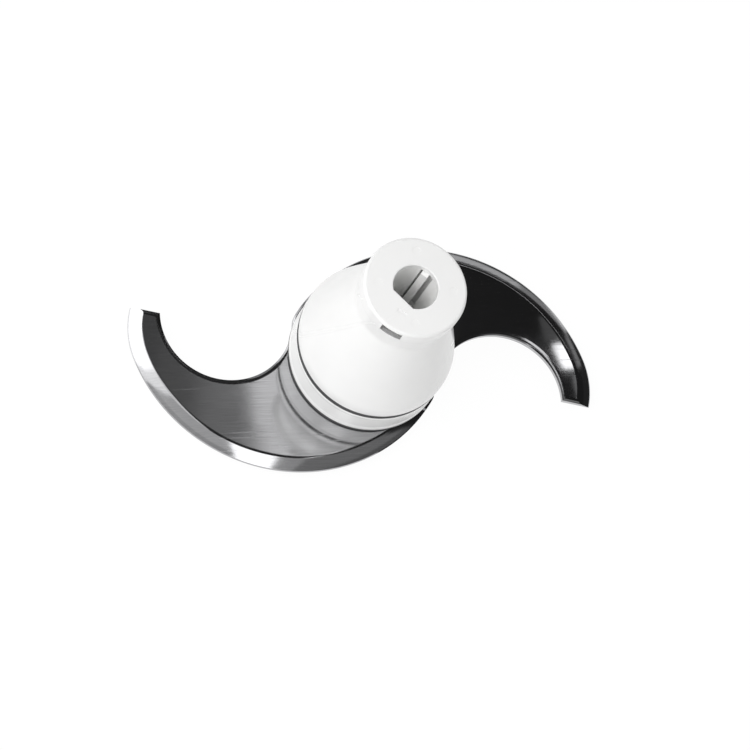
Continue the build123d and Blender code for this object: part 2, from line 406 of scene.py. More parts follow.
def remap(tree, value, low, high, to_low=0.0, to_high=1.0):
    """A value mapped smoothly from one range to another, kept inside it."""
    node = tree.nodes.new("ShaderNodeMapRange")
    node.interpolation_type = "SMOOTHSTEP"
    tree.links.new(value, node.inputs["Value"])
    for label, number in (("From Min", low), ("From Max", high), ("To Min", to_low), ("To Max", to_high)):
        node.inputs[label].default_value = number
    return node.outputs["Result"]


def noise(tree, vector, scale, detail=2.0, roughness=0.5):
    """The value of a noise texture at a vector."""
    node = tree.nodes.new("ShaderNodeTexNoise")
    tree.links.new(vector, node.inputs["Vector"])
    node.inputs["Scale"].default_value = scale
    node.inputs["Detail"].default_value = detail
    node.inputs["Roughness"].default_value = roughness
    return node.outputs["Fac"]


def turned(tree, vector, rotation):
    """A vector seen from axes that are turned by an angle about each of X, Y and Z."""
    node = tree.nodes.new("ShaderNodeMapping")
    node.vector_type = "TEXTURE"
    node.inputs["Rotation"].default_value = rotation
    tree.links.new(vector, node.inputs["Vector"])
    return node.outputs["Vector"]


def object_point(tree):
    """The point on the piece, in its own coordinates."""
    return tree.nodes.new("ShaderNodeTexCoord").outputs["Object"]


def stored(tree, name):
    """A value that the mesh stores."""
    node = tree.nodes.new("ShaderNodeAttribute")
    node.attribute_name = name
    return node.outputs["Fac"]


def blend_colours(tree, share, first, second):
    """A mix of two colours, each a socket or a colour."""
    node = tree.nodes.new("ShaderNodeMix")
    node.data_type = "RGBA"
    tree.links.new(share, node.inputs["Factor"])
    feed(tree, node.inputs[6], first)
    feed(tree, node.inputs[7], second)
    return node.outputs[2]


def bump(tree, height, distance, normal=None):
    """A normal bent by a height."""
    node = tree.nodes.new("ShaderNodeBump")
    node.inputs["Strength"].default_value = 1.0
    node.inputs["Distance"].default_value = distance
    tree.links.new(height, node.inputs["Height"])
    if normal:
        tree.links.new(normal, node.inputs["Normal"])
    return node.outputs["Normal"]


def toned(colour, share):
    """A colour multiplied by a number, with full alpha."""
    return (*(channel * share for channel in colour), 1)


def background_rays(tree):
    """1 for the rays that show the plain white background, 0 for those that carry light to the object."""
    path = tree.nodes.new("ShaderNodeLightPath").outputs
    seen = calculate(tree, "MAXIMUM", path["Is Camera Ray"], path["Is Glossy Ray"])
    return calculate(tree, "MAXIMUM", seen, path["Is Transmission Ray"])


def grain_group():
    """Fine parallel scratches: the vector's X runs along them."""
    if "parallel_grain" in bpy.data.node_groups:
        return bpy.data.node_groups["parallel_grain"]
    numbers = {"Length": 90.0, "Fineness": 3200.0}
    group, start, end = new_group("parallel_grain", numbers, ("Grain", "Scratches"))
    split = group.nodes.new("ShaderNodeSeparateXYZ")
    group.links.new(start.outputs["Vector"], split.inputs[0])
    join = group.nodes.new("ShaderNodeCombineXYZ")
    for axis, label in (("X", "Length"), ("Y", "Fineness")):
        scaled = calculate(group, "MULTIPLY", split.outputs[axis], start.outputs[label])
        group.links.new(scaled, join.inputs[axis])
    group.links.new(noise(group, join.outputs[0], 1.0, 3.0, 0.6), end.inputs["Grain"])
    sparse = noise(group, join.outputs[0], 0.31, 1.0, 0.4)
    group.links.new(remap(group, sparse, 0.66, 0.74), end.inputs["Scratches"])
    return group


def use_group(tree, group, **values):
    """A group placed in a tree, its inputs set to numbers or linked to sockets."""
    node = tree.nodes.new("ShaderNodeGroup")
    node.node_tree = group
    for label, value in values.items():
        feed(tree, node.inputs[label], value)
    return node.outputs


def mottle_group():
    """Slow uneven patches: stains and polish, and the slight waves of a pressed surface."""
    if "slow_mottle" in bpy.data.node_groups:
        return bpy.data.node_groups["slow_mottle"]
    group, start, end = new_group("slow_mottle", {"Patch Scale": 90.0}, ("Patches", "Waves"))
    grown = group.nodes.new("ShaderNodeVectorMath")
    grown.operation = "SCALE"
    group.links.new(start.outputs["Vector"], grown.inputs[0])
    group.links.new(start.outputs["Patch Scale"], grown.inputs["Scale"])
    group.links.new(noise(group, grown.outputs[0], 1.0, 3.0, 0.55), end.inputs["Patches"])
    group.links.new(noise(group, grown.outputs[0], 0.55, 0.5, 0.3), end.inputs["Waves"])
    return group


def patchy(tree, patches, middle, low, high):
    """A number that drifts between two shares of its middle value with slow patches."""
    return calculate(tree, "MULTIPLY", remap(tree, patches, 0.3, 0.7, low, high), middle)


def start_material(name):
    """A node material, as (material, its node tree, its Principled shader)."""
    material = bpy.data.materials.new(name)
    material.use_nodes = True
    return material, material.node_tree, material.node_tree.nodes["Principled BSDF"]


def rolled_steel(finishes):
    """The blade's flat faces: fine rolling grain, slight waves and polish patches."""
    material, tree, shader = start_material("rolled_steel")
    place = object_point(tree)
    rolling_direction = math.radians(14)
    grain = use_group(tree, grain_group(), Vector=turned(tree, place, (0, 0, rolling_direction)))
    mottle = use_group(tree, mottle_group(), Vector=place)
    level = remap(tree, grain["Grain"], 0.25, 0.75)
    colour = blend_colours(tree, level, toned(finishes.steel, 0.92), toned(finishes.steel, 1.08))
    tree.links.new(colour, shader.inputs["Base Color"])
    shader.inputs["Metallic"].default_value = 1.0
    rough = patchy(tree, mottle["Patches"], finishes.steel_roughness, 0.8, 1.25)
    rough = calculate(tree, "ADD", rough, calculate(tree, "MULTIPLY", grain["Scratches"], 0.12))
    tree.links.new(rough, shader.inputs["Roughness"])
    grain_depth, wave_depth = 0.002 * MM, 0.05 * MM
    fine = bump(tree, grain["Grain"], grain_depth)
    tree.links.new(bump(tree, mottle["Waves"], wave_depth, fine), shader.inputs["Normal"])
    return material


def ground_steel(finishes):
    """The ground bevels, with fine grinding marks across them."""
    material, tree, shader = start_material("ground_steel")
    join = tree.nodes.new("ShaderNodeCombineXYZ")
    tree.links.new(stored(tree, "across"), join.inputs["X"])
    tree.links.new(stored(tree, "along"), join.inputs["Y"])
    grain = use_group(tree, grain_group(), Vector=join.outputs[0], Length=110.0, Fineness=2600.0)
    mottle = use_group(tree, mottle_group(), Vector=object_point(tree))
    level = remap(tree, grain["Grain"], 0.2, 0.8)
    steel = finishes.ground_steel
    colour = blend_colours(tree, level, toned(steel, 0.85), toned(steel, 1.12))
    tree.links.new(colour, shader.inputs["Base Color"])
    shader.inputs["Metallic"].default_value = 1.0
    rough = patchy(tree, mottle["Patches"], finishes.ground_roughness, 0.75, 1.3)
    tree.links.new(rough, shader.inputs["Roughness"])
    grain_depth, wave_depth = 0.006 * MM, 0.06 * MM
    fine = bump(tree, grain["Grain"], grain_depth)
    tree.links.new(bump(tree, mottle["Waves"], wave_depth, fine), shader.inputs["Normal"])
    return material


def moulded_plastic(name, colour, roughness, scuff_tone=0.93):
    """Moulded plastic: faint orange peel, slow uneven tone and light scuffs of their own tone."""
    material, tree, shader = start_material(name)
    place = object_point(tree)
    mottle = use_group(tree, mottle_group(), Vector=place)
    askew = turned(tree, place, (0.4, 0.3, 0.9))
    grain = use_group(tree, grain_group(), Vector=askew, Length=60.0, Fineness=900.0)
    tone = remap(tree, mottle["Patches"], 0.25, 0.75)
    base = blend_colours(tree, tone, toned(colour, 0.985), toned(colour, 1.0))
    scuffed = calculate(tree, "MULTIPLY", grain["Scratches"], 0.18)
    scuffs = blend_colours(tree, scuffed, base, toned(colour, scuff_tone))
    tree.links.new(scuffs, shader.inputs["Base Color"])
    rough = patchy(tree, mottle["Patches"], roughness, 0.85, 1.2)
    rough = calculate(tree, "ADD", rough, calculate(tree, "MULTIPLY", grain["Scratches"], 0.15))
    tree.links.new(rough, shader.inputs["Roughness"])
    peel_scale, peel_depth = 700.0, 0.004 * MM
    tree.links.new(bump(tree, noise(tree, place, peel_scale), peel_depth), shader.inputs["Normal"])
    return material


def white_plastic(name, finishes):
    """The hub's white moulding material."""
    return moulded_plastic(name, finishes.plastic, finishes.plastic_roughness)


# Pieces.


class BLADE_OT_plate(bpy.types.Operator):
    """Adds the S-shaped steel plate"""

    bl_idname = "blade.add_plate"
    bl_label = "Blade plate"

    def arcs(self, sizes, hub_radius):
        """The arcs of one half of the outline: outer arc, tip arc, notch arc and waist arc."""
        far = sizes.sweep_radius + sizes.tip_tuck
        outer = circle_through(-hub_radius - sizes.waist_margin, far, -sizes.outer_arc_drop)
        inner_corner = sizes.sweep_radius - sizes.tip_width
        notch = circle_through(-inner_corner, sizes.notch_inset - hub_radius, sizes.notch_arc_rise)
        turn_point = on_circle(*outer, sizes.tip_turn)
        inward = (outer[0] - turn_point).normalized()
        reach = Vector((sizes.sweep_radius, 0.0)) - turn_point
        tip_radius = reach.length_squared / (2 * reach.dot(inward))
        tip = (turn_point + inward * tip_radius, tip_radius)
        fillet = sizes.waist_fillet
        middle = upper_crossing(outer[0], outer[1] - fillet, notch[0], notch[1] + fillet)
        return outer, tip, notch, (middle, fillet)

    def bevel_section(self, sizes, bottom, top):
        """(inset, height) points up the ground edge: honed edge, crowned bevel, soft land line."""
        slope = (top - bottom - sizes.edge_thickness) / sizes.bevel_width
        land_start = sizes.bevel_width - sizes.land_round
        points = [(0.0, bottom), (0.0, bottom + sizes.hone_edge)]
        for share in spread(0.0, 1.0, 6):
            inset = sizes.hone_width + (land_start - sizes.hone_width) * share
            crown = 4 * sizes.bevel_crown * share * (1 - share)
            points.append((inset, bottom + sizes.edge_thickness + slope * inset + crown))
        for share in spread(0.25, 1.0, 4):
            inset = land_start + 2 * sizes.land_round * share
            points.append((inset, top - slope * sizes.land_round * (1 - share) ** 2))
        return points

    def blunt_section(self, sizes, bottom, top):
        """As many points up the blunt edge: rounded corners and a strip that rolls down to the edge."""
        soft = sizes.edge_round
        lip = top - sizes.roll_depth
        points = [(soft, bottom), (0.0, bottom + soft)]
        points += [(0.0, z) for z in spread(bottom + soft, lip - soft, 4)[1:]]
        points.append((0.4 * soft, lip - 0.15 * soft))
        for share in spread(0.0, 1.0, 6):
            drop = sizes.roll_depth * (1 - share) ** 2
            points.append((soft + (sizes.roll_width - soft) * share, top - drop))
        return points

    def half_rows(self, sizes, arcs):
        """Rows of points from bottom to top, along one half of the outline from its tip."""
        outer, tip, notch, waist = arcs
        bottom, top = BLADE_BOX[0].z, BLADE_BOX[1].z
        leave_outer = bearing(outer[0], waist[0])
        enter_notch = bearing(notch[0], waist[0])
        stop = leave_outer - sizes.bevel_stop
        bevel = self.bevel_section(sizes, bottom, top)
        blunt = self.blunt_section(sizes, bottom, top)
        rows = []
        for (ground, ground_z), (inset, z) in zip(bevel, blunt):
            tip_start = math.asin((inset - tip[0].y) / (tip[1] - ground))
            notch_end = -math.pi + math.asin((notch[0].y + inset) / (notch[1] + inset))
            runs = (
                (tip, -ground, ground_z, spread(tip_start, sizes.tip_turn, 24)),
                (outer, -ground, ground_z, spread(sizes.tip_turn, stop, 140)[1:]),
                (outer, -inset, z, spread(stop + BEVEL_END, leave_outer, 8)),
                (waist, -inset, z, spread(leave_outer, enter_notch + math.pi, 10)[1:]),
                (notch, inset, z, spread(enter_notch, notch_end, 110)[1:]),
            )
            row = []
            for (centre, radius), offset, height, angles in runs:
                row += [(*on_circle(centre, radius + offset, angle), height) for angle in angles]
            rows.append(row)
        return rows

    def execute(self, context):
        sizes, hub, finishes = settings(context)
        arcs = self.arcs(sizes, COVER_BOX[1].x)
        rows = [row + [(-x, -y, z) for x, y, z in row] for row in self.half_rows(sizes, arcs)]
        plate = new_piece("blade_plate", loft(rows))
        low, high = BLADE_BOX[0].z - CLEAR, BLADE_BOX[1].z + CLEAR
        combine(plate, prism(disc(hub.barrel_radius + hub.fit_clearance), low, high))
        for centre in peg_centres(sizes):
            combine(plate, prism(disc(sizes.peg_radius + hub.fit_clearance, centre), low, high))
        shade(plate, sharp_angle=10.0)
        self.mark_bevel(plate, *arcs[0], sizes)
        finish_piece(plate, "s_blade", "blade_steel", rolled_steel(finishes), ground_steel(finishes))
        return {"FINISHED"}

    def mark_bevel(self, plate, outer_centre, outer_radius, sizes):
        """Stores each point's place along and across the bevel, and gives the bevels their own material."""
        steepest, flattest = 0.3, 0.99

        def from_centre(place):
            """A point seen from the centre of its own arm's outer arc."""
            return place.xy * (1 if place.y > 0 else -1) - outer_centre

        layers = [plate.data.attributes.new(name, "FLOAT", "POINT").data for name in ("along", "across")]
        for vertex in plate.data.vertices:
            arm = from_centre(vertex.co)
            layers[0][vertex.index].value = math.atan2(arm.y, arm.x) * arm.length
            layers[1][vertex.index].value = arm.length
        for polygon in plate.data.polygons:
            on_bevel = from_centre(polygon.center).length > outer_radius - sizes.bevel_width
            leaning = steepest < polygon.normal.z < flattest
            polygon.material_index = 1 if on_bevel and leaning else 0


class BLADE_OT_cover(bpy.types.Operator):
    """Adds the bell-shaped cover with its collar, D-shaped opening and window"""

    bl_idname = "blade.add_cover"
    bl_label = "Hub cover"

    def execute(self, context):
        _, hub, finishes = settings(context)
        radius, base, top = COVER_BOX[1].x, COVER_BOX[0].z, COVER_BOX[1].z
        wall = hub.cover_wall
        shoulder, neck_base = base + hub.shoulder_height, top - hub.neck_length
        collar_base, plate_under = top - hub.collar_height, top - hub.top_plate
        socket_base = plate_under - hub.socket_length
        socket_radius = hub.barrel_radius + hub.fit_clearance
        start_radius = hub.bore_flat - CLEAR
        corner, inner_corner, socket_corner = 0.4 * MM, 0.5 * MM, 0.3 * MM
        outline = rounded(
            (radius, base, corner),
            (radius, shoulder, hub.shoulder_fillet),
            (hub.neck_radius, neck_base, hub.neck_fillet),
            (hub.neck_radius, collar_base, inner_corner),
            (hub.collar_radius, collar_base, corner),
            (hub.collar_radius, top, hub.collar_round),
            (start_radius, top, 0),
            (start_radius, plate_under, 0),
            (socket_radius, plate_under, 0),
            (socket_radius, socket_base, socket_corner),
            (hub.neck_radius - wall, socket_base, 0),
            (hub.neck_radius - wall, neck_base, hub.neck_fillet),
            (radius - wall, shoulder, hub.shoulder_fillet - wall),
            (radius - wall, base, 0),
            steps=10,
        )
        cover = new_piece("hub_cover_moulding", lathe(outline, steps=256))
        self.cut_bore(cover, hub, plate_under, top)
        self.cut_window(cover, hub, socket_base, collar_base, top)
        self.press_marks(cover, hub, top)
        shade(cover)
        # Painted shade: the faces inside the latch window get this grey, which darkens the recess as its
        # shade would.
        grey = moulded_plastic("painted_shade_window", finishes.window, roughness=0.5)
        finish_piece(cover, "hub_cover", "hub_white", white_plastic("white_cover", finishes), grey)
        self.paint_window_shade(cover, hub, collar_base, top)
        return {"FINISHED"}

    def cut_bore(self, cover, hub, plate_under, top):
        """Cuts the D-shaped opening, its upper edge rounded."""
        rows = [raised(plate_under - CLEAR, *bore_outline(hub, hub.bore_radius, hub.bore_flat))]
        for angle in spread(0.0, math.pi / 2, 6):
            grow = hub.bore_round * (1 - math.cos(angle))
            outline = bore_outline(hub, hub.bore_radius + grow, hub.bore_flat + grow)
            rows.append(raised(top - hub.bore_round * (1 - math.sin(angle)), *outline))
        rows.append(raised(top + CLEAR, *outline))
        combine(cover, loft(rows))

    def cut_window(self, cover, hub, socket_base, collar_base, top):
        """Cuts the latch window, and hollows the collar and the neck behind it."""
        skin, roof, sill, floor = 0.5 * MM, 0.2 * MM, 0.6 * MM, 2 * MM
        window_top = top - hub.window_drop
        socket_radius = hub.barrel_radius + hub.fit_clearance
        sleeve_radius = hub.bore_radius + hub.sleeve_wall
        cuts = (
            (hub.collar_radius + CLEAR, sleeve_radius, window_top - hub.window_height, window_top),
            (hub.collar_radius - skin, socket_radius, collar_base + sill, window_top - roof),
            (hub.neck_radius - skin, socket_radius, socket_base + floor, window_top - roof),
        )
        for outer, inner, low, high in cuts:
            cutter = block(-outer, -inner, hub.window_width / 2, hub.key_angle + hub.window_turn)
            combine(cover, prism(cutter, low, high))

    def press_marks(self, cover, hub, top):
        """Presses the tick that shows the window's side and the marks of four ejector pins into the top."""
        tick_outer, tick_inner, tick_half_width = 11.4 * MM, 10.2 * MM, 1.8 * MM
        tick_depth, mark_depth = 0.3 * MM, 0.12 * MM
        tick = block(-tick_outer, -tick_inner, tick_half_width, hub.key_angle + hub.window_turn)
        combine(cover, prism(tick, top - tick_depth, top + CLEAR))
        first_mark, mark_circle, mark_radius = math.radians(6), 13.0 * MM, 1.5 * MM
        for quarter in range(4):
            centre = on_circle(AXIS, mark_circle, first_mark + math.pi / 2 * quarter)
            combine(cover, prism(disc(mark_radius, centre, steps=32), top - mark_depth, top + CLEAR))

    def paint_window_shade(self, cover, hub, collar_base, top):
        """Gives the faces inside the window the grey material, which paints the shade of the recess behind
        it.
        """
        facing = hub.key_angle + hub.window_turn
        ahead = Vector((math.cos(facing), math.sin(facing)))
        nearest, furthest = hub.barrel_radius + hub.fit_clearance, hub.collar_radius - 2 * HAIR
        lowest, highest = collar_base + BITE, top - hub.window_drop - HAIR
        for polygon in cover.data.polygons:
            middle = polygon.center.xy
            inside = nearest < middle.length < furthest and middle.dot(ahead) < 0
            beside = abs(middle.cross(ahead)) < hub.window_width / 2 + HAIR
            level = lowest < polygon.center.z < highest
            polygon.material_index = 1 if inside and beside and level else 0


class BLADE_OT_ring(bpy.types.Operator):
    """Adds the clamp ring that stands on the blade, and the seal in the seam above it"""

    bl_idname = "blade.add_ring"
    bl_label = "Clamp ring and seal"

    def execute(self, context):
        sizes, hub, finishes = settings(context)
        radius, base, ring_top = RING_BOX[1].x, RING_BOX[0].z, SEAL_BOX[0].z
        spigot = radius - hub.cover_wall - hub.fit_clearance
        bore = hub.barrel_radius + hub.fit_clearance
        lip = radius - 0.1 * MM
        lip_top, floor_top = base + hub.painted_shadow_lip, base + hub.ring_floor
        slope_low, band_low = lip_top + 1.3 * MM, lip_top + 2.3 * MM
        slope_high, band_high = ring_top - 1.4 * MM, ring_top - 2.2 * MM
        wall, waist, roof = radius - hub.ring_wall, radius - hub.ring_recess, ring_top - hub.ring_wall
        spigot_inner, spigot_top = spigot - hub.spigot_wall, RING_BOX[1].z
        fine, edge, inner_edge, band_edge = 0.3 * MM, 0.35 * MM, 0.5 * MM, 0.8 * MM
        outline = rounded(
            (bore, base, 0),
            (lip, base, 0),
            (lip, lip_top, 0),
            (radius, lip_top, fine),
            (radius, slope_low, inner_edge),
            (waist, band_low, band_edge),
            (waist, band_high, band_edge),
            (radius, slope_high, fine),
            (radius, ring_top, edge),
            (spigot, ring_top, 0),
            (spigot, spigot_top, fine),
            (spigot_inner, spigot_top, fine),
            (spigot_inner, roof, 0),
            (wall, roof, 0),
            (wall, floor_top, inner_edge),
            (bore + hub.spigot_wall, floor_top, inner_edge),
            (bore + hub.spigot_wall, ring_top, 0),
            (bore, ring_top, 0),
        )
        ring = new_piece("clamp_ring_moulding", lathe(outline, steps=256))
        for centre in peg_centres(sizes):
            socket = disc(sizes.peg_radius + hub.fit_clearance, centre, steps=48)
            combine(ring, prism(socket, base - CLEAR, floor_top + CLEAR))
        shade(ring)
        # One near-black material serves the seam seal and paints the contact shadow of the lip under the
        # ring.
        dark_seal_and_painted_shadow = moulded_plastic("seal_and_painted_shadow", finishes.seal, roughness=0.8, scuff_tone=1.6)
        finish_piece(ring, "clamp_ring", "hub_white", white_plastic("white_ring", finishes), dark_seal_and_painted_shadow)
        # Painted shadow: the ring's faces at and under the lip take the dark material, as contact shadow on
        # the blade.
        for polygon in ring.data.polygons:
            low = polygon.center.z < lip_top + HAIR
            if low and polygon.center.xy.length > lip - 5 * HAIR:
                polygon.material_index = 1
        # The seam seal is a real part; its near-black colour also stands in for the shadow in the seam
        # between ring and cover.
        (_, _, bottom), (outer, _, top) = SEAL_BOX
        inner, soft = spigot + hub.fit_clearance, 0.1 * MM
        section = rounded((inner, bottom, 0), (outer, bottom, soft), (outer, top, soft), (inner, top, 0))
        finish_piece(new_piece("seam_seal_ring", lathe(section)), "seam_seal", "seal_grey", dark_seal_and_painted_shadow)
        return {"FINISHED"}


class BLADE_OT_carrier(bpy.types.Operator):
    """Adds the carrier under the blade, with its barrel and pegs"""

    bl_idname = "blade.add_carrier"
    bl_label = "Blade carrier"

    def execute(self, context):
        sizes, hub, finishes = settings(context)
        foot, base, barrel_top = CARRIER_BOX[1].x, CARRIER_BOX[0].z, CARRIER_BOX[1].z
        foot_top, seat = BLADE_BOX[0].z, SLEEVE_BOX[0].z
        seat_radius = hub.bore_radius + hub.sleeve_wall + hub.fit_clearance
        hollow_top, hollow_radius = foot_top - hub.foot_web, foot - hub.foot_rim
        lead_in, edge, rib_gap = 0.8 * MM, 0.3 * MM, 0.2 * MM
        outline = rounded(
            (hub.spindle_radius, base, lead_in),
            (hub.barrel_radius, base, edge),
            (hub.barrel_radius, hollow_top, 0),
            (hollow_radius, hollow_top, 0),
            (hollow_radius, base, edge),
            (foot, base, hub.foot_round),
            (foot, foot_top, 0),
            (hub.barrel_radius, foot_top, 0),
            (hub.barrel_radius, barrel_top, 0),
            (seat_radius, barrel_top, 0),
            (seat_radius, seat, 0),
            (hub.spindle_radius, seat, 0),
        )
        carrier = new_piece("blade_carrier_moulding", lathe(outline))
        inner, outer, half_rib = hub.barrel_radius - BITE, hollow_radius + BITE, hub.rib_thickness / 2
        for k in range(hub.foot_ribs):
            rib = block(inner, outer, half_rib, 2 * math.pi * k / hub.foot_ribs)
            combine(carrier, prism(rib, base + rib_gap, hollow_top + BITE), "UNION")
        for centre in peg_centres(sizes):
            peg = disc(sizes.peg_radius, centre, steps=48)
            combine(carrier, prism(peg, foot_top - BITE, BLADE_BOX[1].z + hub.ring_floor), "UNION")
        latch_low = COVER_BOX[1].z - hub.window_drop - hub.window_height + hub.fit_clearance
        outer, half_latch = hub.barrel_radius + hub.latch_reach, hub.window_width / 2 - hub.fit_clearance
        latch = block(-outer, -seat_radius - BITE, half_latch, hub.key_angle + hub.window_turn)
        combine(carrier, prism(latch, latch_low, latch_low + hub.latch_height), "UNION")
        groove = seat_radius + hub.spline_reach
        slot = block(-groove, groove, hub.spline_width / 2 + hub.fit_clearance, hub.key_angle + math.pi / 2)
        combine(carrier, prism(slot, seat, barrel_top + CLEAR))
        shade(carrier)
        finish_piece(carrier, "blade_carrier", "hub_white", white_plastic("white_carrier", finishes))
        return {"FINISHED"}


class BLADE_OT_sleeve(bpy.types.Operator):
    """Adds the keyed drive sleeve inside the barrel"""

    bl_idname = "blade.add_sleeve"
    bl_label = "Drive sleeve"

    def execute(self, context):
        _, hub, finishes = settings(context)
        bottom, top = SLEEVE_BOX[0].z, SLEEVE_BOX[1].z
        outer = hub.bore_radius + hub.sleeve_wall
        sleeve = new_piece("drive_sleeve_tube", prism(disc(outer, steps=128), bottom, top))
        ridge = outer + hub.spline_reach
        spline = block(-ridge, ridge, hub.spline_width / 2, hub.key_angle + math.pi / 2)
        combine(sleeve, prism(spline, bottom, top), "UNION")
        bore = bore_outline(hub, hub.bore_radius, hub.bore_flat, steps=128)
        combine(sleeve, prism(bore, bottom - CLEAR, top + CLEAR))
        key_root, key_lead_in = hub.bore_radius + 1.0 * MM, 1.0 * MM
        key = block(hub.bore_radius - hub.key_reach, key_root, hub.key_width / 2, hub.key_angle)
        combine(sleeve, prism(key, bottom + key_lead_in, top), "UNION")
        for side, width in ((1, hub.narrow_slit), (-1, hub.wide_slit)):
            aside = Vector((0.0, side * (hub.key_width + width) / 2))
            corners = block(hub.bore_radius / 2, outer + 2 * CLEAR, width / 2, 0.0)
            slit = [Matrix.Rotation(hub.key_angle, 2) @ (corner + aside) for corner in corners]
            combine(sleeve, prism(slit, top - hub.slit_length, top + CLEAR))
        shade(sleeve)
        # Painted light: the sleeve's white is set above the hub's so that the shaded walls of the bore read
        # lighter.
        acetal = moulded_plastic("sleeve_acetal_lightened", finishes.sleeve, roughness=0.4)
        finish_piece(sleeve, "drive_sleeve", "sleeve_white", acetal)
        return {"FINISHED"}


# Studio.


def level_card(low_x, high_x, low_y, high_y, z):
    """Corners of a level rectangle, in millimetres."""
    return raised(z, (low_x, low_y), (high_x, low_y), (high_x, high_y), (low_x, high_y))


def back_card(low_x, high_x, y, low_z, high_z):
    """Corners of an upright rectangle across the Y axis, in millimetres."""
    return [(low_x, y, low_z), (high_x, y, low_z), (high_x, y, high_z), (low_x, y, high_z)]


def side_card(x, low_y, high_y, low_z, high_z):
    """Corners of an upright rectangle across the X axis, in millimetres."""
    return [(x, low_y, low_z), (x, high_y, low_z), (x, high_y, high_z), (x, low_y, high_z)]


# The border of the two greys in front, as the left arm's bevel mirrors it.
GREY_BORDER = ((-188, -54), (-164, -78), (-136, -99), (-106, -117), (-75, -131), (-36, -140))

# Cards that only mirror rays meet: name, corners in millimetres, brightness. They give the steel its
# white, grey and black bands. The level ones hang over the blade, and the lower of two hides the upper.
REFLECTION_CARDS = (
    ("dark_overhead", level_card(72, 450, -18, 300, 300), 0.02),
    ("dark_behind", raised(303, (-120, 131), (72, 126), (72, 260), (-120, 260)), 0.03),
    ("dim_left_far", level_card(-110, -32, 30, 140, 302), 0.095),
    ("dim_left", level_card(-32, -12, 30, 135, 302), 0.13),
    ("dim_middle", level_card(-12, 28, 30, 130, 302), 0.24),
    ("pale_by_hub", raised(301, (28, 36), (66, 36), (66, 127), (1, 127)), 1.0),
    ("dark_land_line", level_card(-62, 66, -68, 30, 299), 0.03),
    ("white_left", raised(299, (-360, -20), (-205, -24), (-140, 10), (-150, 220), (-360, 220)), 2.3),
    ("pale_left", raised(301, (-360, -52), (-188, -58), (-124, -36), (-124, 60), (-360, 60)), 1.4),
    ("grey_front_inner", raised(300, *GREY_BORDER, (-36, -66), (-124, -36)), 0.61),
    ("grey_front_outer", raised(300, *GREY_BORDER, (-36, -300), (-360, -300), (-360, -48)), 0.44),
    ("white_front", level_card(-36, 33, -260, -74, 299), 2.4),
    ("dim_front", level_card(36, 76, -260, -68, 301), 0.46),
    ("dim_front_right", level_card(76, 450, -260, -18, 300), 0.14),
    ("dim_front_inner", raised(299, (76, -180), (116, -165), (290, -22), (76, -22)), 0.25),
    ("dark_back_left", back_card(-60, 60, 250, 40, 300), 0.04),
    ("grey_back_left", back_card(-220, -58, 252, 40, 300), 0.35),
    ("dark_back_low", back_card(90, 620, 450, 0, 180), 0.03),
    ("grey_back_near", back_card(60, 270, 455, 150, 262), 0.66),
    ("grey_back_far", ((270, 453, 150), (448, 453, 240), (448, 453, 325), (270, 453, 262)), 0.34),
    ("grey_side", ((447, 455, 240), (447, 335, 250), (447, 335, 330), (447, 455, 325)), 0.30),
    ("dark_back_right", back_card(440, 620, 455, 150, 430), 0.05),
    ("dark_back_high", back_card(60, 620, 450, 262, 430), 0.02),
    ("dark_side", side_card(450, -250, 420, 0, 430), 0.03),
    ("tip_light", raised(60, (82.5, 43.5), (91, 46), (95.5, 36.5), (88, 34.5)), 2.6),
    ("tip_halo", raised(61, (79.5, 45), (88, 47), (84, 56), (76, 54)), 0.11),
    ("tip_grey", raised(61, (92, 33), (96.5, 34), (100, 21), (96, 21)), 0.28),
    ("edge_light", raised(61, (71, 43), (79.5, 36), (68, 20), (66, 25)), 1.3),
    ("dim_far_corner", level_card(-200, -110, 92, 150, 302), 0.095),
    ("dark_over_tip", raised(210, (12, 76), (36, 57), (50, 50), (82, 50), (82, 120), (12, 120)), 0.03),
    ("white_left_low", side_card(-360, -95, 220, 60, 299), 1.6),
)


